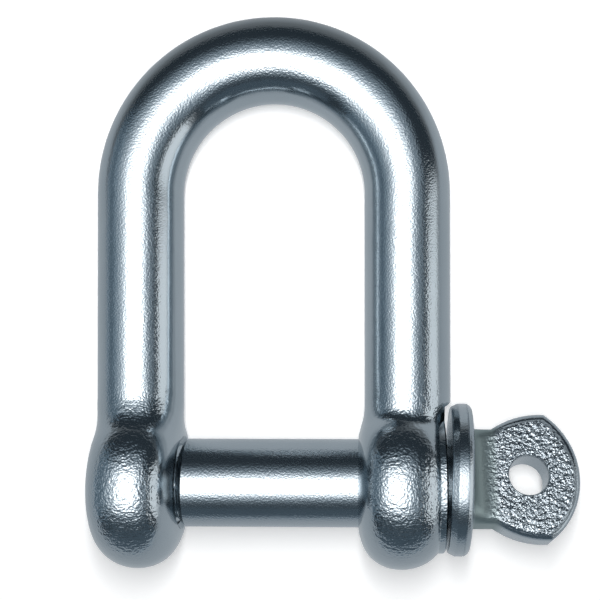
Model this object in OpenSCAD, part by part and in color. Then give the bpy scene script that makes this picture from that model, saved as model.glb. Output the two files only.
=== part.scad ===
// Forged dee shackle for joining chain: a bar bow with two upset ears, closed by a screw pin.
// Millimetres. The origin is on the pin axis, half-way between the ears.
// +X runs along the pin towards its head, +Y towards the crown, +Z up from the floor it lies on.

/* [Bow] */
// Diameter of the round bar
bar_d = 11.8; // [10:0.1:14]
// Clear width of the jaw, between the inner faces of the ears
jaw_w = 23.9; // [20:0.1:32]
// How far the inner faces of the ears stand into the jaw past the legs, on the mean
ear_step = 0.65; // [0.4:0.05:0.9]
// How far the legs and the crown stand off the jaw's middle towards the plain ear, as forged
crown_shift = 0.45; // [0:0.05:0.6]
// Distance from the pin axis to the centre of the crown's bend
leg_len = 40; // [32:0.5:60]

/* [Ears] */
// Diameter of each ear, across its rim
ear_d = 23.1; // [21:0.1:28]
// Thickness of the tapped ear
tapped_ear_t = 12.6; // [12:0.1:16]
// Thickness of the plain ear as forged
plain_ear_t = 12.7; // [12:0.1:16]
// Fullness of the ear's section: 2 is an ellipse, larger is squarer
ear_fullness = 2.9; // [2.2:0.1:4]
// Width of the hollow beside the leg where it runs into the tapped ear
tapped_side = 2.8; // [1:0.1:3.2]
// Width of the hollow in front of and behind that leg
tapped_front = 3; // [1:0.1:6]
// Width of the hollow beside the leg where it runs into the plain ear
plain_side = 2; // [1:0.1:3.2]
// Width of the hollow in front of and behind that leg
plain_front = 1.6; // [1:0.1:6]
// Diameter of the raised seat on the outside of the plain ear
seat_d = 18.8; // [17:0.1:20]
// Chamfer round the raised seat
seat_chamfer = 0.3; // [0.1:0.05:0.5]
// Diameter cleared round the seat for the collar
clear_d = 22.6; // [22:0.1:24]
// How far the seat is faced back from the ear as forged
seat_depth = 0.8; // [0.5:0.1:1.4]
// Diameter of the countersinks in the plane of the jaw
sink_d = 14.8; // [14.2:0.1:16]
// Full angle of the countersinks
sink_angle = 90; // [60:5:120]

/* [Pin] */
// Diameter of the pin's plain shank
pin_d = 12; // [10:0.5:12.5]
// Radial clearance of the shank in the plain ear
pin_clearance = 0.1; // [0.02:0.01:0.1]
// Pitch of the screw thread
thread_pitch = 1.75; // [1:0.25:2.5]
// Radial clearance of the thread in the tapped ear
thread_clearance = 0.05; // [0.01:0.01:0.1]
// How far the shank's shoulder stands clear of the tapped ear
shoulder_gap = 0.5; // [0.1:0.1:1]
// How far the screwed end stops short of the tapped ear's outer face
end_recess = 0.5; // [0:0.1:2]
// Chamfer on the screwed end
end_chamfer = 1; // [0.2:0.1:1.5]
// Gap between the collar and its seat
seat_gap = 0.6; // [0.05:0.05:1]
// Diameter of the collar
collar_d = 20.7; // [18:0.1:21]
// Thickness of the collar
collar_t = 2.9; // [2.7:0.1:5]
// Rounding of the collar's edges
collar_round = 1.1; // [0.5:0.1:1.3]

/* [Head] */
// Length of the flattened head, from the collar to its tip
head_len = 14.9; // [14:0.1:18]
// Greatest width of the head
head_w = 17.2; // [15.5:0.1:19]
// Distance of the head's widest place from the collar
crest_at = 9.9; // [9:0.1:10.5]
// Width of the head's neck at the collar
neck_w = 13; // [11.5:0.1:14]
// Thickness of the flattened plate
head_t = 5.8; // [5:0.1:7]
// Thickness of the neck at the collar
neck_t = 11; // [8:0.1:12]
// Length of the hollow ramp from the neck's thickness to the plate's
ramp_len = 3.4; // [2.6:0.1:5]
// Radius of the head's rounded end, seen on the plate
tip_r = 10.6; // [9.6:0.1:12]
// Radius of the head's bowed sides, seen on the plate
side_r = 11.8; // [11:0.1:14]
// Rounding of the plate's edges
edge_round = 1.1; // [0.4:0.1:1.6]
// Diameter of the eye through the plate
eye_d = 5.3; // [4:0.1:6.5]
// Distance of the eye's centre from the collar
eye_at = 7.9; // [7:0.1:8.5]
// How far the collar and the head stand off the pin's axis, as forged
head_lift = 0.6; // [0:0.1:0.7]
// Angle at which the screwed-up head comes to stand from the plane of the bow
head_turn = 22; // [0:1:90]

/* [Hidden] */
$fn = 96;

// Half sizes
bar_r = bar_d / 2;
ear_r = ear_d / 2;
pin_r = pin_d / 2;
collar_r = collar_d / 2;
plate_half_t = head_t / 2;
// Where the legs and the ears stand along the pin
leg_x = jaw_w / 2 + ear_step + bar_r;
tapped_end_x = jaw_w / 2 + tapped_ear_t;
plain_end_x = jaw_w / 2 + plain_ear_t;
seat_x = plain_end_x - seat_depth;
// The bow lies on its ears and its crown, so it leans by the difference of their radii
rest_tilt = asin((ear_r - bar_r) / (leg_len + leg_x));
// The thread stands at its pitch diameter, which is this share of a pitch under the shank's
pitch_drop = 0.6495;
thread_r = pin_r - pitch_drop * thread_pitch / 2;
tapped_r = thread_r + thread_clearance;
plain_r = pin_r + pin_clearance;
// Extra length that carries a cut clear of the surface it opens
over = 1;
// Sides round the forged ears, rings under and over their middle, and halvings that find the skin
ear_sides = 40;
ear_low_rings = 12;
ear_high_rings = 17;
skin_steps = 24;
// Flat facets stand this much outside the true radius at their corners
facet_swell = 1 / cos(180 / ear_sides);
// The neck ends on the bar, this much proud of it
neck_lap = 0.02;
// Nearer to the leg's centre line than this, the neck's hollow is as it is beside the leg
axis_guard = bar_r / 10;
// Height over the ear's middle at which the leg's core has thinned away inside the ear
core_low = ear_r / 4;
core_high = ear_r;
core_share = 0.5;
// Collar and head along the pin
collar_x = seat_x + seat_gap;
head_x = collar_x + collar_t;
tip_centre = head_len - tip_r;
// Stations along the head and points across one face of the plate
head_stations = 36;
head_columns = 16;
// The head's last station is a narrow flat, and its first is buried in the collar
tip_flat = 0.6;
head_root = collar_t / 2;

// A value that eases from 0 at low to 1 at high
function ease(value, low, high) =
    let (share = min(max((value - low) / (high - low), 0), 1))
    share * share * (3 - 2 * share);

// The lower of two values, with the corner between them rounded over a width of blend
function soft_min(a, b, blend) =
    min(a, b) - pow(max(blend - abs(a - b), 0), 2) / (4 * blend);

// Place of an ear's middle along the pin
function ear_x(ear_t) = (jaw_w + ear_t) / 2;
// Each leg's centre line from its ear's middle, and the widths of its hollow
plain_neck = [leg_x + crown_shift - ear_x(plain_ear_t), plain_side, plain_front];
tapped_neck = [leg_x - crown_shift - ear_x(tapped_ear_t), tapped_side, tapped_front];

// Distance of a point outside an ear alone, along the ray from the ear's middle
function ear_gap(p, ear_t) =
    let (gauge = pow(pow(norm([p.y, p.z]) / ear_r, ear_fullness)
                     + pow(abs(p.x) / (ear_t / 2), ear_fullness), 1 / ear_fullness))
    norm(p) * (1 - 1 / gauge);

// Distance of a point outside the leg alone; inside the ear its core thins away
function leg_gap(p, leg_at) =
    let (core_r = bar_r * (1 - core_share * (1 - ease(p.y, core_low, core_high))))
    norm([p.x - leg_at, min(p.y, 0), p.z]) - core_r;

// Width of the hollow of the neck at a point, between its width beside the leg and in front of it
function hollow(p, leg_at, side, front) =
    let (out = norm([p.x - leg_at, p.z]))
    out < axis_guard ? side : side + (front - side) * pow(p.z / out, 2);

// Below 0 inside the forging, above 0 outside it
// neck holds the place of the leg's centre line and the hollow's two widths
function forging_gap(p, ear_t, neck) =
    soft_min(ear_gap(p, ear_t), leg_gap(p, neck[0]), hollow(p, neck[0], neck[1], neck[2]));

// Distance from a point inside the forging to its skin, by halving the stretch that holds it
function skin_at(from, way, ear_t, neck, near = 0.1, far = ear_d, steps = skin_steps) =
    let (half = (near + far) / 2)
    steps == 0 ? half
    : forging_gap(from + half * way, ear_t, neck) < 0
        ? skin_at(from, way, ear_t, neck, half, far, steps - 1)
    : skin_at(from, way, ear_t, neck, near, half, steps - 1);

// One ring of points: rays from the leg's centre line, drooping under the ear's middle
function ear_ring(ear_t, neck, height, droop, grow = 0) = [
    for (i = [0 : ear_sides - 1])
        let (turn = 360 * i / ear_sides)
        let (from = [neck[0], height, 0])
        let (way = [cos(droop) * cos(turn), -sin(droop), cos(droop) * sin(turn)])
        from + (skin_at(from, way, ear_t, neck) * facet_swell + grow) * way
];

// Triangles between two rings of the same count, the second following the first
function band(first, second, count) = [
    for (i = [0 : count - 1])
        let (next = (i + 1) % count)
        each [[first + i, first + next, second + i], [first + next, second + next, second + i]]
];

// One forged ear with its neck, about its own middle, and the leg that leaves it along +Y
module forged_ear(ear_t, neck) {
    leg_at = neck[0];
    neck_top = ear_r + max(neck[1], neck[2]);
    low_rings = [for (k = [1 : ear_low_rings]) ear_ring(ear_t, neck, 0, 90 - 90 * k / ear_low_rings)];
    high_rings = [
        for (k = [1 : ear_high_rings])
            ear_ring(ear_t, neck, neck_top * k / ear_high_rings, 0, neck_lap)
    ];
    rings = concat(low_rings, high_rings);
    count = len(rings);
    foot = [leg_at, -skin_at([leg_at, 0, 0], [0, -1, 0], ear_t, neck), 0];
    points = [foot, for (ring = rings) each ring];
    foot_faces = [for (i = [0 : ear_sides - 1]) [0, 1 + (i + 1) % ear_sides, 1 + i]];
    skin_faces = [
        for (k = [0 : count - 2])
            each band(1 + k * ear_sides, 1 + (k + 1) * ear_sides, ear_sides)
    ];
    top_face = [[for (i = [0 : ear_sides - 1]) 1 + (count - 1) * ear_sides + i]];
    polyhedron(points, concat(foot_faces, skin_faces, top_face));
    translate([leg_at, neck_top - over, 0])
        rotate([-90, 0, 0])
            cylinder(h = leg_len - neck_top + over, r = bar_r);
}

// A cylinder or cone along +X from x0 to x1
module along_x(x0, x1, r0, r1) {
    translate([x0, 0, 0])
        rotate([0, 90, 0])
            cylinder(h = x1 - x0, r1 = r0, r2 = r1);
}

// A countersink that opens into the jaw at the inner face of the ear on the +X side
module jaw_sink(hole_r) {
    slope = tan(sink_angle / 2);
    depth = (sink_d / 2 - hole_r) / slope;
    along_x(jaw_w / 2 - over, jaw_w / 2 + depth, sink_d / 2 + over * slope, hole_r);
}

// The turned seat for the collar, standing out of the plain ear
module raised_seat() {
    seat_r = seat_d / 2;
    along_x(ear_x(plain_ear_t), seat_x - seat_chamfer, seat_r, seat_r);
    along_x(seat_x - seat_chamfer, seat_x, seat_r, seat_r - seat_chamfer);
}

// Lays a piece down as the shackle comes to rest
module laid() {
    rotate([-rest_tilt, 0, 0])
        children();
}

// The bow: crown and legs of one bar, an ear on each end, one tapped and one plain
module shackle_bow() {
    color("#aeb7bd")
        laid()
            difference() {
                union() {
                    translate([crown_shift, leg_len, 0])
                        rotate_extrude(angle = 180)
                            translate([leg_x, 0])
                                circle(r = bar_r);
                    translate([ear_x(plain_ear_t), 0, 0])
                        forged_ear(plain_ear_t, plain_neck);
                    raised_seat();
                    mirror([1, 0, 0])
                        translate([ear_x(tapped_ear_t), 0, 0])
                            forged_ear(tapped_ear_t, tapped_neck);
                }
                along_x(jaw_w / 2 - over, plain_end_x + over, plain_r, plain_r);
                jaw_sink(plain_r);
                along_x(seat_x, leg_x + crown_shift + bar_r + over, clear_d / 2, clear_d / 2);
                mirror([1, 0, 0]) {
                    along_x(jaw_w / 2 - over, tapped_end_x + over, tapped_r, tapped_r);
                    jaw_sink(tapped_r);
                }
            }
}

// Section of the turned part of the pin: screwed end and shank
module shank_section() {
    end_x = end_recess - tapped_end_x;
    shoulder_x = shoulder_gap - jaw_w / 2;
    polygon([
        [0, end_x],
        [thread_r - end_chamfer, end_x],
        [thread_r, end_x + end_chamfer],
        [thread_r, shoulder_x - (pin_r - thread_r)],
        [pin_r, shoulder_x],
        [pin_r, collar_x + over],
        [0, collar_x + over]
    ]);
}

// Section of the round-edged collar
module collar_section() {
    translate([0, collar_x])
        square([collar_r - collar_round, collar_t]);
    translate([0, collar_x + collar_round])
        square([collar_r, collar_t - 2 * collar_round]);
    for (edge = [collar_round, collar_t - collar_round])
        translate([collar_r - collar_round, collar_x + edge])
            circle(r = collar_round);
}

// Half width of the head at a distance from the collar: bowed sides, then the round end
function side_half_w(along) =
    max(neck_w / 2, head_w / 2 - side_r + sqrt(max(side_r * side_r - pow(along - crest_at, 2), 0)));
function tip_half_w(along) = sqrt(max(tip_r * tip_r - pow(along - tip_centre, 2), 0));
function head_half_w(along) =
    along < tip_centre ? side_half_w(along) : min(side_half_w(along), tip_half_w(along));

// Distance of a point on the plate from the head's outline
function edge_gap(along, across) =
    min(head_half_w(along) - abs(across), tip_r - norm([max(along - tip_centre, 0), across]));

// Half thickness of the head before its edges are rounded: a hollow ramp down to the plate
function ramp_half_t(along) =
    let (rise = (neck_t - head_t) / 2)
    let (hollow_r = (ramp_len * ramp_len + rise * rise) / (2 * rise))
    let (left = min(max(ramp_len - along, 0), ramp_len))
    plate_half_t + hollow_r - sqrt(hollow_r * hollow_r - left * left);

// Half thickness of the head at a point: the rounding is wider where the neck is thicker
function head_half_t(along, across) =
    let (half_t = ramp_half_t(along))
    let (round_r = edge_round + (half_t - plate_half_t))
    let (short = min(max(round_r - edge_gap(along, across), 0), round_r))
    half_t - round_r + sqrt(round_r * round_r - short * short);

// Stations crowd towards the tip, and points across the plate crowd towards its edges
function station(k) =
    let (share = k / head_stations)
    -head_root + (head_len - tip_flat * tip_flat / (8 * tip_r) + head_root) * sin(90 * share);
function column(j) = -cos(180 * j / head_columns);

// One closed section of the head: the upper face from edge to edge, then the lower face back
function head_ring(along) =
    let (half_w = head_half_w(along))
    let (upper = [
        for (j = [0 : head_columns])
            let (across = half_w * column(j))
            [head_x + along, across, head_half_t(along, across)]
    ])
    concat(upper, [for (j = [head_columns : -1 : 0]) [upper[j].x, upper[j].y, -upper[j].z]]);

// The flattened head, before its eye is pierced
module head_plate() {
    count = 2 * (head_columns + 1);
    rings = [for (k = [0 : head_stations]) head_ring(station(k))];
    skin_faces = [for (k = [0 : head_stations - 1]) each band(k * count, (k + 1) * count, count)];
    root_face = [[for (i = [count - 1 : -1 : 0]) i]];
    tip_face = [[for (i = [0 : count - 1]) head_stations * count + i]];
    polyhedron([for (ring = rings) each ring], concat(root_face, skin_faces, tip_face));
}

// The screw pin: screwed end, shank, collar and flattened eye head, forged in one
module screw_pin() {
    color("#a9b2b8")
        laid()
            rotate([-head_turn, 0, 0])
                difference() {
                    union() {
                        rotate([0, 90, 0])
                            rotate_extrude()
                                shank_section();
                        translate([0, head_lift, 0]) {
                            rotate([0, 90, 0])
                                rotate_extrude()
                                    collar_section();
                            head_plate();
                        }
                    }
                    translate([head_x + eye_at, head_lift, -head_t])
                        cylinder(h = 2 * head_t, r = eye_d / 2);
                }
}

shackle_bow();
screw_pin();
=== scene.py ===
"""Looks of a zinc-plated forged dee shackle for joining chain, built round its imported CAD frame."""
import math

import bpy
import numpy as np
from mathutils import Matrix, Vector


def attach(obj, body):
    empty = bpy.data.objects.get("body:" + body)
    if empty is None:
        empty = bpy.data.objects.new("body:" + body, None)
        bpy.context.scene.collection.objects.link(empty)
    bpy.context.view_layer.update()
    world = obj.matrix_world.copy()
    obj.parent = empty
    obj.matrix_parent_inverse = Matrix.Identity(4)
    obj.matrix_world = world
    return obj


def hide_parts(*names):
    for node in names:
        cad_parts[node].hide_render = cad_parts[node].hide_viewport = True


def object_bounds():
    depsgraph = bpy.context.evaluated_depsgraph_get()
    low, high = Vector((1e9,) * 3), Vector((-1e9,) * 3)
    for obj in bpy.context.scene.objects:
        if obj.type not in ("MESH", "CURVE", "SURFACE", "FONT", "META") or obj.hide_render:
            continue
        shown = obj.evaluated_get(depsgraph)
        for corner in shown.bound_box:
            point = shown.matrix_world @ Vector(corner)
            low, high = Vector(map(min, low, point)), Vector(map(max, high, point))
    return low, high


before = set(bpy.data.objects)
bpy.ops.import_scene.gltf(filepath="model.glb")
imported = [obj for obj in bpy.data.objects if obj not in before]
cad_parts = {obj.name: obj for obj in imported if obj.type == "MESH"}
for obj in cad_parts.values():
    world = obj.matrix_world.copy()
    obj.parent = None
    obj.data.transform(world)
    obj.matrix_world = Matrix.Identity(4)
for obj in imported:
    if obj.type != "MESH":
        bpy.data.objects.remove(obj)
cad_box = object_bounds()


# The bow: a round bar of carbon steel, forged hot. Its ends are upset into flattened-ball ears and
# it is bent to a D. Then the ears are drilled across: one is tapped for the pin, the other is bored
# plain and faced on its outside, with a low turned seat for the pin's collar.
MM = 0.001
BAR_R = 5.9
HALF_JAW = 11.95
LEG_X, CROWN_SHIFT = 18.5, 0.45
LEG_LEN = 40.0
EAR_R = 11.55
EAR_RIM, EAR_BARREL, EAR_SKEW = 4.1, 2.0, 0.35
TAPPED_EAR_T, TAPPED_NECK = 12.35, (2.8, 3.0)
PLAIN_EAR_T, PLAIN_NECK = 12.7, (2.0, 1.6)
CORE_SHARE = 0.5
SEAT_DEPTH, SEAT_R, SEAT_CHAMFER = 0.8, 9.4, 0.2
SEAT_X = HALF_JAW + PLAIN_EAR_T - SEAT_DEPTH
CLEAR_R = 11.3
SINK_R, SINK_TIP_R = 6.6, 4.0
PLAIN_R = 6.1
OVER = 1.0
REST_TILT = math.asin((EAR_R - BAR_R) / (LEG_LEN + LEG_X))
BOW_SIDES, FOOT_RINGS, NECK_RINGS, LEG_RINGS, CROWN_RINGS = 168, 48, 72, 20, 120
TURNED_SIDES = 144
NEAREST, HALVINGS = 0.1, 40
ZERO_GUARD, AXIS_GUARD = 1e-6, 0.3


def ease(value, low, high):
    """A share that leaves 0 at low and reaches 1 at high, level at both ends: 3 s squared less 2 s cubed."""
    share = np.clip((value - low) / (high - low), 0, 1)
    return share * share * (3 - 2 * share)


def leaned(points, angle):
    """Points in millimetres turned about the pin axis by the angle, +Z towards +Y, and given in metres."""
    x, y, z = np.moveaxis(points, -1, 0)
    c, s = math.cos(angle), math.sin(angle)
    return np.stack([x, c * y + s * z, c * z - s * y], axis=-1) * MM


def forging_gap(points, ear_t, leg_at, neck):
    """Distance outside the forging, below 0 inside it, about the ear's middle.

    The ear is a flattened ball: the radius from the pin axis over the ear's, to the power of the rim,
    and the distance from its middle plane over half its thickness, to that of the barrel, add up to
    1. The fullest place is skewed towards the jaw, by a parabola that leaves both faces where they are.
    The sum and its mean power scale a point back to the skin, which gives its distance. The leg
    is a round bar whose core thins to half inside the ear. The nearer of the two gaps counts, with
    the corner between them rounded over the width of the neck's hollow, which has one width beside
    the leg and another in front of it.
    """
    x, y, z = np.moveaxis(points, -1, 0)
    skewed = x + EAR_SKEW * np.maximum(1 - (2 * x / ear_t) ** 2, 0)
    rim, barrel = (np.hypot(y, z) / EAR_R) ** EAR_RIM, (2 * np.abs(skewed) / ear_t) ** EAR_BARREL
    gauge = np.maximum(rim + barrel, ZERO_GUARD)
    power = np.maximum(EAR_RIM * rim + EAR_BARREL * barrel, ZERO_GUARD) / gauge
    ear = np.linalg.norm(points, axis=-1) * (1 - gauge ** (-1 / power))
    core = BAR_R * (CORE_SHARE + (1 - CORE_SHARE) * ease(y, EAR_R / 4, EAR_R))
    out = (x - leg_at) ** 2 + z ** 2
    leg = np.sqrt(out + np.minimum(y, 0) ** 2) - core
    side, front = neck
    hollow = side + (front - side) * z ** 2 / np.maximum(out, AXIS_GUARD)
    return np.minimum(ear, leg) - np.maximum(hollow - np.abs(ear - leg), 0) ** 2 / (4 * hollow)


def ear_rings(ear_t, leg_x, neck):
    """Rings of one ear and its neck, foot first, the leg leaving along +Y on the +X side.

    Rays leave the leg's centre line all round: drooping from straight down to level at the ear's
    middle, then level up the neck. Each meets the skin where halving its length finds a gap of 0.
    """
    middle = HALF_JAW + ear_t / 2
    droop = np.concatenate([np.linspace(np.pi / 2, 0, FOOT_RINGS)[1:], np.zeros(NECK_RINGS)])
    neck_top = EAR_R + max(neck)
    height = np.concatenate([np.zeros(FOOT_RINGS - 1), np.linspace(0, neck_top, NECK_RINGS + 1)[1:]])
    turn = np.linspace(0, 2 * np.pi, BOW_SIDES, endpoint=False)
    droop, turn = np.meshgrid(droop, turn, indexing="ij")
    start = np.stack(np.broadcast_arrays(leg_x - middle, height[:, None], 0 * turn), axis=-1)
    way = np.stack([np.cos(droop) * np.cos(turn), -np.sin(droop), np.cos(droop) * np.sin(turn)], axis=-1)
    near, far = np.full(turn.shape, NEAREST), np.full(turn.shape, 2 * EAR_R)
    for _ in range(HALVINGS):
        half = (near + far) / 2
        inside = forging_gap(start + half[..., None] * way, ear_t, leg_x - middle, neck) < 0
        near, far = np.where(inside, half, near), np.where(inside, far, half)
    return start + far[..., None] * way + [middle, 0, 0]


def bow_rings():
    """Rings of the whole bow from foot to foot: an ear, its leg, the crown's half circle, and back."""
    plain = ear_rings(PLAIN_EAR_T, LEG_X + CROWN_SHIFT, PLAIN_NECK)
    tapped = ear_rings(TAPPED_EAR_T, LEG_X - CROWN_SHIFT, TAPPED_NECK) * [-1, 1, 1]
    turn = np.linspace(0, 2 * np.pi, BOW_SIDES, endpoint=False)
    reach, lift = LEG_X + BAR_R * np.cos(turn), BAR_R * np.sin(turn)

    def leg(top, side):
        y = np.linspace(top, LEG_LEN, LEG_RINGS + 1)[1:, None]
        return np.stack(np.broadcast_arrays(CROWN_SHIFT + side * reach, y, lift), axis=-1)

    bend = np.linspace(0, np.pi, CROWN_RINGS + 1)[1:-1, None]
    crown_x, crown_y = CROWN_SHIFT + reach * np.cos(bend), LEG_LEN + reach * np.sin(bend)
    crown = np.stack(np.broadcast_arrays(crown_x, crown_y, lift), axis=-1)
    right, left = leg(plain[-1, 0, 1], 1), leg(tapped[-1, 0, 1], -1)
    return np.concatenate([plain, right, crown, left[::-1], tapped[::-1]])


def turned(profile):
    """Rings of a turned form about the pin axis: each pair is a place along it and a radius."""
    along, radius = np.array(profile, float).T[..., None]
    turn = np.linspace(0, 2 * np.pi, TURNED_SIDES, endpoint=False)
    return np.stack(np.broadcast_arrays(along, radius * np.cos(turn), radius * np.sin(turn)), axis=-1)


def solid(name, rings, angle):
    """A closed mesh object: quads between neighbouring rings, and a fan at each end to the ring's middle.

    Faces are turned about where the enclosed volume, a sixth of the sum of the triangles' triple
    products, comes out below 0.
    """
    count, sides = rings.shape[:2]
    points = np.concatenate([rings.reshape(-1, 3), rings[[0, -1]].mean(axis=1)])
    points = leaned(points, angle)
    index = np.arange(count * sides).reshape(count, sides)
    step = np.roll(index, -1, axis=1)
    quads = np.stack([index[:-1], step[:-1], step[1:], index[1:]], axis=-1).reshape(-1, 4)
    foot = np.full(sides, count * sides)
    fans = np.concatenate([np.stack([foot, step[0], index[0]], axis=-1),
                           np.stack([foot + 1, index[-1], step[-1]], axis=-1)])
    a, b, c = points[np.concatenate([quads[:, :3], quads[:, [0, 2, 3]], fans])].swapaxes(0, 1)
    if np.einsum("ij,ij->", a, np.cross(b, c)) < 0:
        quads, fans = quads[:, ::-1], fans[:, ::-1]
    mesh = bpy.data.meshes.new(name)
    mesh.from_pydata(points, [], quads.tolist() + fans.tolist())
    piece = bpy.data.objects.new(name, mesh)
    bpy.context.scene.collection.objects.link(piece)
    return piece


def work(piece, tool, operation):
    """Joins a second closed form to the piece or cuts it away, and keeps the outcome as the piece's mesh."""
    step = piece.modifiers.new("work", "BOOLEAN")
    step.operation, step.solver, step.object = operation, "EXACT", tool
    bpy.context.view_layer.update()
    worked = bpy.data.meshes.new_from_object(piece.evaluated_get(bpy.context.evaluated_depsgraph_get()))
    piece.modifiers.clear()
    raw, piece.data = piece.data, worked
    bpy.data.meshes.remove(raw)
    bpy.data.meshes.remove(tool.data)


# Both holes open into the jaw through a countersink, and the tapped one carries a metric thread.
THREAD_PITCH = 1.75
THREAD_CREST, THREAD_ROOT = 5.9, 5.0
THREAD_PLAY = 0.12
FLANK_RISE, ROOT_FLAT = 2.8, 0.2
TAP_RINGS, THREAD_RINGS = 150, 130
TAPPED_END = -(HALF_JAW + TAPPED_EAR_T)


def thread_radius(along, turn):
    """Radius of the thread: crest and root joined by flanks, as a wave cut off above and below.

    The wave is a triangle of the place along the pin over the pitch, less the share of a turn.
    """
    phase = (along / THREAD_PITCH - turn / (2 * np.pi)) % 1
    wave = np.clip(np.abs(phase - 0.5) * FLANK_RISE - ROOT_FLAT, 0, 1)
    return THREAD_ROOT + (THREAD_CREST - THREAD_ROOT) * wave


def threaded(along, limit, start=0.0):
    """Rings of a thread at the places along the pin, kept inside the limit radius given at each place.

    The start turns the thread on about its axis.
    """
    turn = np.linspace(0, 2 * np.pi, TURNED_SIDES, endpoint=False)
    along, limit = along[:, None], limit[:, None]
    radius = np.minimum(thread_radius(along, turn - start), limit)
    return np.stack(np.broadcast_arrays(along, radius * np.cos(turn), radius * np.sin(turn)), axis=-1)


seat = [(HALF_JAW + PLAIN_EAR_T / 2, SEAT_R), (SEAT_X - SEAT_CHAMFER, SEAT_R),
        (SEAT_X + OVER, SEAT_R - SEAT_CHAMFER - OVER)]
spot_face = [(SEAT_X, CLEAR_R), (LEG_X + CROWN_SHIFT + BAR_R + OVER, CLEAR_R)]
plain_bore = [(HALF_JAW - OVER, SINK_R + OVER), (HALF_JAW + SINK_R - PLAIN_R, PLAIN_R),
              (HALF_JAW + PLAIN_EAR_T + OVER, PLAIN_R)]
tap_along = np.linspace(TAPPED_END - OVER, -HALF_JAW + OVER, TAP_RINGS)
tap = threaded(tap_along, np.full(tap_along.shape, THREAD_CREST))
tap[..., 1:] *= 1 + THREAD_PLAY / THREAD_CREST
tapped_sink = [(-HALF_JAW + OVER, SINK_R + OVER), (-HALF_JAW - SINK_R + SINK_TIP_R, SINK_TIP_R)]
bow = solid("shackle_bow_forged", bow_rings(), REST_TILT)
for name, rings, operation in [("seat", turned(seat), "UNION"), ("facing", turned(spot_face), "DIFFERENCE"),
                               ("plain_bore", turned(plain_bore), "DIFFERENCE"),
                               ("tapped_bore", tap, "DIFFERENCE"),
                               ("tapped_sink", turned(tapped_sink), "DIFFERENCE")]:
    work(bow, solid(name, rings, REST_TILT), operation)

# How much of the forged grain shows at each point of the bow: all of it where the skin faced the dies,
# none on the flanks, where the flash was ground off along the parting line. The upset ears also show
# the coarser marks of the header.
DIE_FACE, HEADED_FACE = (0.6, 0.9), (0.45, 0.8)
HEADED_TOP = EAR_R - 3, EAR_R + 4


def laid_flat(piece, what, angle):
    """The places or the normals of a piece's points, turned back by the angle that the piece leans at."""
    values = np.empty(len(piece.data.vertices) * 3)
    piece.data.vertices.foreach_get(what, values)
    return leaned(values.reshape(-1, 3), -angle) / MM


def mark_points(piece, name, values):
    """Keeps one value at each point of a piece, for its material to read by name."""
    piece.data.attributes.new(name, "FLOAT", "POINT").data.foreach_set("value", values)


facing = np.abs(laid_flat(bow, "normal", REST_TILT)[:, 2])
height = laid_flat(bow, "co", REST_TILT)[:, 1] / MM
mark_points(bow, "grained", ease(facing, *DIE_FACE))
mark_points(bow, "upset", ease(facing, *HEADED_FACE) * (1 - ease(height, *HEADED_TOP)))

# Bright electro-zinc plate with a clear blue passivate, over the fine grain of the shot-blasted
# forging: a cool grey mirror, broken up by the grain and by the slow waves of the hammer.
ZINC_LIGHT, ZINC_DEEP = "#b9c2c8", "#a8b3b9"
GRAIN_MM, MARK_MM, WAVE_MM, CLOUD_MM = 0.25, 0.5, 2.4, 9.0
GRAIN_DEEP, MARK_DEEP, WAVE_DEEP = 0.036 * MM, 0.07 * MM, 0.03 * MM
BOW_ROUGH = 0.13, 0.18
SHARP_EDGE = math.radians(32)


def linear(hex_colour):
    """The linear RGBA of an sRGB hex colour: a straight line near black, and a power of 2.4 above it."""
    srgb = np.array([int(hex_colour[i:i + 2], 16) for i in (1, 3, 5)]) / 255
    return (*np.where(srgb <= 0.04045, srgb / 12.92, ((srgb + 0.055) / 1.055) ** 2.4), 1.0)


def node(tree, kind, inputs, **settings):
    """Adds a node with its settings, and gives each named input its value, or a link if it is a socket."""
    made = tree.nodes.new(kind)
    for name, value in settings.items():
        setattr(made, name, value)
    for name, value in inputs.items():
        if isinstance(value, bpy.types.NodeSocket):
            tree.links.new(value, made.inputs[name])
        else:
            made.inputs[name].default_value = value
    return made


def new_material(name):
    """An empty node material, its tree and its output node."""
    material = bpy.data.materials.new(name)
    material.use_nodes = True
    material.node_tree.nodes.clear()
    return material, material.node_tree, node(material.node_tree, "ShaderNodeOutputMaterial", {})


# Sockets of a node that mixes two colours: the share, both colours and the outcome.
SHARE, FIRST, SECOND, MIXED = 0, 6, 7, 2


def per_mm(size):
    """Texture scale of a pattern whose features are that many millimetres apart, on metre coordinates."""
    return 1 / (size * MM)


zinc_bow, tree, output = new_material("zinc_plated_forging")
place = node(tree, "ShaderNodeTexCoord", {}).outputs["Object"]
grained = node(tree, "ShaderNodeAttribute", {}, attribute_name="grained").outputs["Fac"]
upset = node(tree, "ShaderNodeAttribute", {}, attribute_name="upset").outputs["Fac"]
grain = node(tree, "ShaderNodeTexNoise", {"Vector": place, "Scale": per_mm(GRAIN_MM), "Detail": 1.0})
pits = node(tree, "ShaderNodeMath", {0: grain.outputs["Fac"], 1: grained}, operation="MULTIPLY")
mark = node(tree, "ShaderNodeTexNoise", {"Vector": place, "Scale": per_mm(MARK_MM), "Detail": 1.0})
marks = node(tree, "ShaderNodeMath", {0: mark.outputs["Fac"], 1: upset}, operation="MULTIPLY")
wave = node(tree, "ShaderNodeTexNoise", {"Vector": place, "Scale": per_mm(WAVE_MM), "Detail": 1.0})
cloud = node(tree, "ShaderNodeTexNoise", {"Vector": place, "Scale": per_mm(CLOUD_MM), "Detail": 3.0})
waves = node(tree, "ShaderNodeBump", {"Height": wave.outputs["Fac"], "Distance": WAVE_DEEP, "Strength": 1.0})
hammer = node(tree, "ShaderNodeBump", {"Height": marks.outputs["Value"], "Distance": MARK_DEEP,
                                       "Strength": 1.0, "Normal": waves.outputs["Normal"]})
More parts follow.
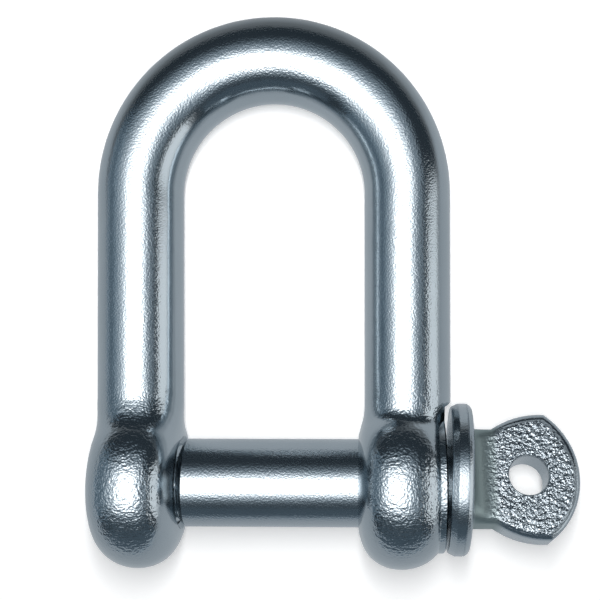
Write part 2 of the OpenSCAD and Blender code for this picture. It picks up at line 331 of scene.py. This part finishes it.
relief = node(tree, "ShaderNodeBump", {"Height": pits.outputs["Value"], "Distance": GRAIN_DEEP,
                                       "Strength": 1.0, "Normal": hammer.outputs["Normal"]})
tint = node(tree, "ShaderNodeMix", {SHARE: cloud.outputs["Fac"], FIRST: linear(ZINC_DEEP),
                                    SECOND: linear(ZINC_LIGHT)}, data_type="RGBA")
gloss = node(tree, "ShaderNodeMapRange", {"Value": cloud.outputs["Fac"], "To Min": BOW_ROUGH[0],
                                          "To Max": BOW_ROUGH[1]})
zinc = node(tree, "ShaderNodeBsdfPrincipled", {"Base Color": tint.outputs[MIXED], "Metallic": 1.0,
                                               "Roughness": gloss.outputs["Result"],
                                               "Normal": relief.outputs["Normal"]})
tree.links.new(zinc.outputs["BSDF"], output.inputs["Surface"])


def plate(piece, material):
    """Smooths a piece's faces, apart from edges that are sharper than the angle, and plates it."""
    piece.data.shade_smooth()
    piece.data.set_sharp_from_angle(angle=SHARP_EDGE)
    piece.data.materials.append(material)


plate(bow, zinc_bow)
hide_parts("shackle_bow")
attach(bow, "bow")


# The screw pin: forged with its collar and a flattened eye head, then turned and threaded. The
# shank is smooth, and the collar has round edges and a faint line where the dies met.
PIN_R = 6.0
END_RECESS, END_CHAMFER = 0.5, 1.0
PIN_END = TAPPED_END + END_RECESS
SHOULDER_GAP, SHOULDER_CHAMFER = 0.5, 0.55
SHOULDER_X = SHOULDER_GAP - HALF_JAW
RUN_OUT = 0.5
SEAT_GAP, COLLAR_T, COLLAR_R = 0.6, 2.9, 10.35
COLLAR_X = SEAT_X + SEAT_GAP
HEAD_X = COLLAR_X + COLLAR_T
HEAD_LIFT = 0.6
HEAD_TURN = math.radians(22)
PIN_LEAN = REST_TILT + HEAD_TURN
OFF_SEAT, OUT_OF_SQUARE = 0.12, (0.028, -0.034)
ROOT_GAP, ROOT_R, BURIED_R = 0.25, 8.6, 4.0
ROOT_X = SEAT_X + ROOT_GAP
CORNER_POINTS, BROW_POINTS, CREST_POINTS, LINE_POINTS, OUTER_POINTS = 13, 8, 8, 7, 9


def pin_rings():
    """Rings of the pin from its screwed end to inside the collar.

    The thread is kept under a chamfer at its end and runs out before the shank's chamfered shoulder.
    """
    thread_end = SHOULDER_X - SHOULDER_CHAMFER
    along = np.linspace(PIN_END, thread_end, THREAD_RINGS)
    limit = np.minimum(THREAD_CREST, THREAD_CREST - END_CHAMFER + (along - PIN_END))
    limit = np.minimum(limit, THREAD_ROOT + (thread_end - along) * RUN_OUT)
    shank = [(thread_end, PIN_R - SHOULDER_CHAMFER), (SHOULDER_X, PIN_R), (0, PIN_R),
             (COLLAR_X + OVER, PIN_R)]
    return np.concatenate([threaded(along, limit, HEAD_TURN), turned(shank)])


def collar_rings():
    """Rings of the collar, forged a little off the pin's axis and a little out of square with it.

    Its section has a sloping root on the shank, a small round on the inner edge, a slow brow, a level
    crest, a shallow groove where the dies met, and an outer bevel that turns through an arc into the
    outer face.
    """
    brow_w, brow_slope, inner_r = 0.75, math.radians(26), 0.4
    crest_back, groove_w, groove, bevel_w, slope = 0.88, 0.2, 0.07, 0.3, math.radians(33)
    crest_x = HEAD_X - crest_back
    corner = np.linspace(0, np.pi / 2 - brow_slope, CORNER_POINTS)
    inner = np.column_stack([inner_r * (1 - np.cos(corner)), inner_r * np.sin(corner)])
    brow = np.linspace(0, 1, BROW_POINTS)[1:, None] * [brow_w, brow_w * math.tan(brow_slope)]
    inner = np.concatenate([inner, inner[-1] + brow])
    inner += [COLLAR_X, COLLAR_R] - inner[-1] * [0, 1]
    crest = np.linspace((inner[-1, 0], COLLAR_R), (crest_x, COLLAR_R), CREST_POINTS)[1:]
    share = np.linspace(0, 1, LINE_POINTS)[1:]
    line = np.column_stack([crest_x + groove_w * share, COLLAR_R - groove * np.sin(np.pi * share)])
    bevel = np.column_stack([crest_x + groove_w + bevel_w * share,
                             COLLAR_R - bevel_w * math.tan(slope) * share])
    turn = np.linspace(slope, np.pi / 2, OUTER_POINTS)[1:]
    outer_r = (HEAD_X - bevel[-1, 0]) / (1 - math.sin(slope))
    outer = np.column_stack([HEAD_X - outer_r * (1 - np.sin(turn)),
                             bevel[-1, 1] - outer_r * (math.cos(slope) - np.cos(turn))])
    root = [(ROOT_X, BURIED_R), (ROOT_X, PIN_R), (COLLAR_X, ROOT_R)]
    rings = turned(np.concatenate([root, inner, crest, line, bevel, outer, [(HEAD_X, BURIED_R)]]))
    rings[..., 0] += OFF_SEAT + leaned(rings, PIN_LEAN)[..., 1:] @ OUT_OF_SQUARE / MM
    return rings + [0, HEAD_LIFT, 0]


# The head: the end of the forging hammered flat to a fan-shaped plate, joined to the collar by a
# hollow ramp, and pierced by an eye for the mousing wire.
HEAD_LEN, HEAD_W, CREST_AT, NECK_W = 14.9, 17.2, 9.9, 13.0
HEAD_T, NECK_T, RAMP_LEN = 5.8, 11.0, 3.4
TIP_R, SIDE_R, EDGE_ROUND = 10.6, 11.8, 1.1
EYE_R, EYE_AT, EYE_FLARE = 2.65, 7.9, 0.22
TIP_CENTRE = HEAD_LEN - TIP_R
HEAD_STATIONS, HEAD_COLUMNS = 140, 48
TIP_FLAT, EYE_OVER, EYE_RINGS, EYE_SIDES = 0.004, 0.6, 41, 96


def head_half_width(along):
    """Half width of the head: bowed sides on a circle about the crest, then the round end's circle."""
    side = HEAD_W / 2 - SIDE_R + np.sqrt(np.maximum(SIDE_R ** 2 - (along - CREST_AT) ** 2, 0))
    tip = np.sqrt(np.maximum(TIP_R ** 2 - np.maximum(along - TIP_CENTRE, 0) ** 2, 0))
    return np.minimum(np.maximum(side, NECK_W / 2), tip)


def head_edge_gap(along, across):
    """Distance of a point on the plate from the head's outline, by its sides and by its round end."""
    end = TIP_R - np.hypot(np.maximum(along - TIP_CENTRE, 0), across)
    return np.minimum(head_half_width(along) - np.abs(across), end)


def head_half_thickness(along, across):
    """Half thickness of the head: a hollow circular ramp from the neck to the plate, less its round edges."""
    rise = (NECK_T - HEAD_T) / 2
    hollow = (RAMP_LEN ** 2 + rise ** 2) / (2 * rise)
    left = np.clip(RAMP_LEN - along, 0, RAMP_LEN)
    full = HEAD_T / 2 + hollow - np.sqrt(hollow ** 2 - left ** 2)
    edge = EDGE_ROUND + full - HEAD_T / 2
    short = np.clip(edge - head_edge_gap(along, across), 0, edge)
    return full - edge + np.sqrt(edge ** 2 - short ** 2)


def head_rings():
    """Closed sections of the head along the pin: the upper face from edge to edge, then the lower one back.

    Stations crowd towards the tip as a sine, and points crowd towards the edges as a cosine.
    """
    root, tip = -COLLAR_T / 2, HEAD_LEN - TIP_FLAT
    along = root + (tip - root) * np.sin(np.linspace(0, np.pi / 2, HEAD_STATIONS))[:, None]
    across = head_half_width(along) * -np.cos(np.linspace(0, np.pi, HEAD_COLUMNS))
    thick = head_half_thickness(along, across)
    upper = np.stack(np.broadcast_arrays(HEAD_X + along, across, thick), axis=-1)
    return np.concatenate([upper, upper[:, ::-1] * [1, 1, -1]], axis=1) + [0, HEAD_LIFT, 0]


def eye_rings():
    """Rings of the eye's punch across the plate: a straight bore with a small round flare at each mouth."""
    depth = np.linspace(-1, 1, EYE_RINGS)[:, None] * (HEAD_T / 2 + EYE_OVER)
    flare = np.maximum(np.abs(depth) - (HEAD_T / 2 - EYE_FLARE * 2), 0)
    turn = np.linspace(0, 2 * np.pi, EYE_SIDES, endpoint=False)
    radius = EYE_R + flare ** 2 / (4 * EYE_FLARE)
    eye_x, eye_y = HEAD_X + EYE_AT + radius * np.cos(turn), HEAD_LIFT + radius * np.sin(turn)
    return np.stack(np.broadcast_arrays(eye_x, eye_y, depth), axis=-1)


pin = solid("screw_pin_forged", pin_rings(), PIN_LEAN)
for name, rings, operation in [("collar", collar_rings(), "UNION"), ("head", head_rings(), "UNION"),
                               ("eye", eye_rings(), "DIFFERENCE")]:
    work(pin, solid(name, rings, PIN_LEAN), operation)

# How much of the hammered finish shows at each point of the pin: all of it on the flat of the plate,
# fading out on the ramp, and none on the edges, the collar and the shank. The smooth border is wider
# along one side of the plate. The plating is dullest on the ramp, less so on the shank, the collar
# and the edges, and bright on the flats.
HAMMER_FADE = RAMP_LEN - 2.4, RAMP_LEN + 1.4
FLAT_FADE = HEAD_T / 2 - 0.4, HEAD_T / 2 - 0.2
RIM_MIN, RIM_MORE, RIM_FADE = 0.4, 0.45, 0.45
RAMP_FOOT, RAMP_FADE = (0.0, 0.3), (RAMP_LEN - 0.4, RAMP_LEN + 1.2)
SHANK_DULL = 0.3
flat = laid_flat(pin, "co", PIN_LEAN) / MM
along, across, height = flat[:, 0] - HEAD_X, flat[:, 1] - HEAD_LIFT, np.abs(flat[:, 2])
rim = RIM_MIN + RIM_MORE * ease(across, -HEAD_W / 4, HEAD_W / 4)
hammered = (ease(along, *HAMMER_FADE) * ease(height, *FLAT_FADE)
            * ease(head_edge_gap(along, across) - rim, 0, RIM_FADE))
ramp = ease(along, *RAMP_FOOT) * (1 - ease(along, *RAMP_FADE))
mark_points(pin, "dull", SHANK_DULL * (1 - hammered) + (1 - SHANK_DULL) * ramp)
mark_points(pin, "hammered", hammered)

# The same zinc plate on the pin: an even satin on the turned shank and the collar, dull on the ramp,
# and on the plate's flats the coarse facets of the hammer scale, which sparkle white and dark.
HAMMER_MM, HAMMER_DEEP, SKIN_DEEP = 0.58, 0.44 * MM, 0.03 * MM
PIN_ROUGH = 0.07, 0.48
ZINC_DULL = "#9aa9a9"
zinc_pin, tree, output = new_material("zinc_plated_pin")
place = node(tree, "ShaderNodeTexCoord", {}).outputs["Object"]
struck = node(tree, "ShaderNodeAttribute", {}, attribute_name="hammered").outputs["Fac"]
dull = node(tree, "ShaderNodeAttribute", {}, attribute_name="dull").outputs["Fac"]
grain = node(tree, "ShaderNodeTexNoise", {"Vector": place, "Scale": per_mm(GRAIN_MM), "Detail": 1.0})
cloud = node(tree, "ShaderNodeTexNoise", {"Vector": place, "Scale": per_mm(CLOUD_MM), "Detail": 3.0})
facet = node(tree, "ShaderNodeTexNoise", {"Vector": place, "Scale": per_mm(HAMMER_MM), "Detail": 2.0,
                                          "Roughness": 0.55})
skin = node(tree, "ShaderNodeBump", {"Height": grain.outputs["Fac"], "Distance": SKIN_DEEP, "Strength": 1.0})
depth = node(tree, "ShaderNodeMath", {0: facet.outputs["Fac"], 1: struck}, operation="MULTIPLY")
relief = node(tree, "ShaderNodeBump", {"Height": depth.outputs["Value"], "Distance": HAMMER_DEEP,
                                       "Strength": 1.0, "Normal": skin.outputs["Normal"]})
tint = node(tree, "ShaderNodeMix", {SHARE: cloud.outputs["Fac"], FIRST: linear(ZINC_DEEP),
                                    SECOND: linear(ZINC_LIGHT)}, data_type="RGBA")
gloss = node(tree, "ShaderNodeMapRange", {"Value": dull, "To Min": PIN_ROUGH[0], "To Max": PIN_ROUGH[1]})
greyed = node(tree, "ShaderNodeMapRange", {"Value": dull, "From Min": SHANK_DULL})
colour = node(tree, "ShaderNodeMix", {SHARE: greyed.outputs["Result"], FIRST: tint.outputs[MIXED],
                                      SECOND: linear(ZINC_DULL)}, data_type="RGBA")
zinc = node(tree, "ShaderNodeBsdfPrincipled", {"Base Color": colour.outputs[MIXED], "Metallic": 1.0,
                                               "Roughness": gloss.outputs["Result"],
                                               "Normal": relief.outputs["Normal"]})
tree.links.new(zinc.outputs["BSDF"], output.inputs["Surface"])

plate(pin, zinc_pin)
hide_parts("screw_pin")
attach(pin, "pin")


# The table: a plain white sheet that the shackle lies on. It is lit, so it keeps the soft shadow, and it
# glows to the camera, more so further off, so that it stands out white. In the metal's mirror it is
# painted: grey, with an even, cooler painted glow that drops to a painted shade behind the crown.
FLOOR_REACH = 3000
CAMERA_GLOW, MIRROR_GLOW, SHADE_GLOW = 0.34, 0.47, 0.12
WHITE_FROM, WHITE_TO = 45 * MM, 160 * MM
SHADE_FROM, SHADE_TO = 55 * MM, 85 * MM
MIRROR_BLUE, SHEET_MIRROR_SHADE, SHEET_WHITE = "#ebf3fa", "#6c6c6c", "#f0f0f0"
floor_z = cad_box[0].z
middle = (cad_box[0] + cad_box[1]) / 2
corners = np.array([[-1, -1], [1, -1], [1, 1], [-1, 1]]) * FLOOR_REACH * MM
mesh = bpy.data.meshes.new("white_sheet")
mesh.from_pydata(np.column_stack([corners, np.full(4, floor_z)]), [], [(0, 1, 2, 3)])
floor = bpy.data.objects.new("white_sheet", mesh)
bpy.context.scene.collection.objects.link(floor)
sheet, tree, output = new_material("white_matt_sheet")
paths = node(tree, "ShaderNodeLightPath", {}).outputs
mirrored = node(tree, "ShaderNodeMath", {0: paths["Is Glossy Ray"], 1: paths["Is Transmission Ray"]},
                operation="MAXIMUM")
ground = node(tree, "ShaderNodeTexCoord", {}).outputs["Object"]
spot = node(tree, "ShaderNodeSeparateXYZ", {"Vector": ground})
# Painted shade: in the metal's mirror the sheet's glow drops from the even glow to a dim one behind the
# crown.
level = node(tree, "ShaderNodeMapRange", {"Value": spot.outputs["Y"], "From Min": SHADE_FROM,
                                          "From Max": SHADE_TO, "To Min": MIRROR_GLOW, "To Max": SHADE_GLOW})
reflected = node(tree, "ShaderNodeMath", {0: mirrored.outputs["Value"], 1: level.outputs["Result"]},
                 operation="MULTIPLY")
away = node(tree, "ShaderNodeVectorMath", {0: ground, 1: (*middle.xy, floor_z)}, operation="DISTANCE")
seen = node(tree, "ShaderNodeMapRange", {"Value": away.outputs["Value"], "From Min": WHITE_FROM,
                                         "From Max": WHITE_TO, "To Min": CAMERA_GLOW, "To Max": 1.0})
glow = node(tree, "ShaderNodeMath", {0: paths["Is Camera Ray"], 1: seen.outputs["Result"],
                                     2: reflected.outputs["Value"]}, operation="MULTIPLY_ADD")
hue = node(tree, "ShaderNodeMix", {SHARE: paths["Is Camera Ray"], FIRST: linear(MIRROR_BLUE),
                                   SECOND: linear("#ffffff")}, data_type="RGBA")
shine = node(tree, "ShaderNodeEmission", {"Color": hue.outputs[MIXED], "Strength": glow.outputs["Value"]})
# Painted shade: every ray but the camera's sees the sheet grey, so it shows darker in the metal's mirror than
# to the camera.
white = node(tree, "ShaderNodeMix", {SHARE: paths["Is Camera Ray"], FIRST: linear(SHEET_MIRROR_SHADE),
                                     SECOND: linear(SHEET_WHITE)}, data_type="RGBA")
lit = node(tree, "ShaderNodeBsdfDiffuse", {"Color": white.outputs[MIXED]})
both = node(tree, "ShaderNodeAddShader", {0: shine.outputs["Emission"], 1: lit.outputs["BSDF"]})
tree.links.new(both.outputs["Shader"], output.inputs["Surface"])
mesh.materials.append(sheet)


# The studio: a large soft box overhead, brightest in its middle, a soft panel on the right, dim boards
# on the left and in front with brighter lower edges, and dark walls, which give the metal its dark
# bands. A small key lamp lights the sheet only. The camera sees a white backdrop.
WALL_BLUE, WALL_GREY = "#cae6fc", 0.06
CLOTH_WHITE, PANEL_WHITE, BOARD_BLUE, EDGE_BLUE = "#fff8f5", "#fafafa", "#cdeaff", "#e8f4ff"
SOFT_BOX_Z = 250
PANEL_X, PANEL_Y, PANEL_Z, PANEL_LAYER = 235, -27, 85, 0.4
world = bpy.data.worlds.new("studio")
bpy.context.scene.world = world
world.use_nodes = True
tree = world.node_tree
tree.nodes.clear()
paths = node(tree, "ShaderNodeLightPath", {}).outputs
shade = node(tree, "ShaderNodeMix", {SHARE: paths["Is Camera Ray"], FIRST: linear(WALL_BLUE),
                                     SECOND: linear("#ffffff")}, data_type="RGBA")
tone = node(tree, "ShaderNodeMapRange", {"Value": paths["Is Camera Ray"], "To Min": WALL_GREY, "To Max": 1.0})
walls = node(tree, "ShaderNodeBackground", {"Color": shade.outputs[MIXED],
                                            "Strength": tone.outputs["Result"]})
output = node(tree, "ShaderNodeOutputWorld", {"Surface": walls.outputs["Background"]})


def lamp(name, centre, aim, size, radiance, colour, on_metal=True):
    """A rectangular lamp, placed in millimetres and facing its aim.

    Its power is pi times its area and its face's brightness. A lamp on the metal is seen in its
    mirror only, and any other lights the sheet only.
    """
    data = bpy.data.lights.new(name, "AREA")
    data.shape, data.size, data.size_y = "RECTANGLE", size[0] * MM, size[1] * MM
    data.energy = radiance * math.pi * data.size * data.size_y
    data.color = linear(colour)[:3]
    made = bpy.data.objects.new(name, data)
    bpy.context.scene.collection.objects.link(made)
    made.location = Vector(centre) * MM
    made.rotation_euler = (Vector(aim) - Vector(centre)).to_track_quat("-Z", "Y").to_euler()
    made.visible_camera = False
    made.visible_glossy, made.visible_diffuse = on_metal, not on_metal


# Each layer of the soft box's cloth: its left, right, near and far edges, its brightness and its tint.
cloth = [(-560, 260, -250, 400, 0.11, "#dcedfa"), (-450, 235, -165, 290, 0.22, "#e4f1fb"),
         (-310, 130, -120, 205, 0.4, "#f0f5f9"), (-212, 98, -95, 165, 0.6, CLOTH_WHITE),
         (-160, 68, -75, 138, 0.8, CLOTH_WHITE), (-132, 44, -55, 112, 1.6, CLOTH_WHITE)]
for step, (left, right, near, far, radiance, colour) in enumerate(cloth):
    centre = (left + right) / 2, (near + far) / 2
    lamp(f"soft_box_{step}", (*centre, SOFT_BOX_Z - step), (*centre, 0), (right - left, far - near),
         radiance, colour)
for step, size in enumerate([(255, 176), (220, 150), (185, 122)]):
    lamp(f"panel_right_{step}", (PANEL_X - step, PANEL_Y, PANEL_Z), (0, PANEL_Y, PANEL_Z), size,
         PANEL_LAYER, PANEL_WHITE)
lamp("board_left", (-300, 30, 100), (0, 30, 100), (400, 200), 0.18, BOARD_BLUE)
lamp("board_front", (0, -300, 120), (0, 0, 120), (600, 240), 0.1, BOARD_BLUE)
lamp("edge_left", (-299, -60, 24), (0, -60, 24), (480, 48), 0.2, EDGE_BLUE)
lamp("edge_front", (0, -299, 18), (0, 0, 18), (600, 36), 0.25, EDGE_BLUE)
lamp("key", (13.7, 50, 140), (13.7, -5, -11), (10, 60), 121, "#ffffff", on_metal=False)


# The camera: a short telephoto nearly square above the bow, in the photograph's square frame, which
# is cropped a little to one side of the lens's axis.
FRAME_PX = 600
FOCAL_PX = 960.5
AXIS_PX = 342
CAMERA_AT = (13.69, 36.79, 130.06)
CAMERA_BACK = Vector((0.02835, 0.08737, 0.99577)).normalized()
CAMERA_RIGHT = Vector((0.99960, -0.00367, -0.02814)).normalized()
camera_data = bpy.data.cameras.new("camera")
camera_data.sensor_width = 36.0
camera_data.lens = camera_data.sensor_width * FOCAL_PX / FRAME_PX
camera_data.shift_x = (FRAME_PX / 2 - AXIS_PX) / FRAME_PX
camera_data.clip_start = 0.01
camera = bpy.data.objects.new("camera", camera_data)
bpy.context.scene.collection.objects.link(camera)
axes = Matrix((CAMERA_RIGHT, CAMERA_BACK.cross(CAMERA_RIGHT), CAMERA_BACK)).transposed()
camera.location = Vector(CAMERA_AT) * MM
camera.rotation_euler = axes.to_euler()
bpy.context.scene.camera = camera
bpy.context.scene.view_settings.view_transform = "Standard"
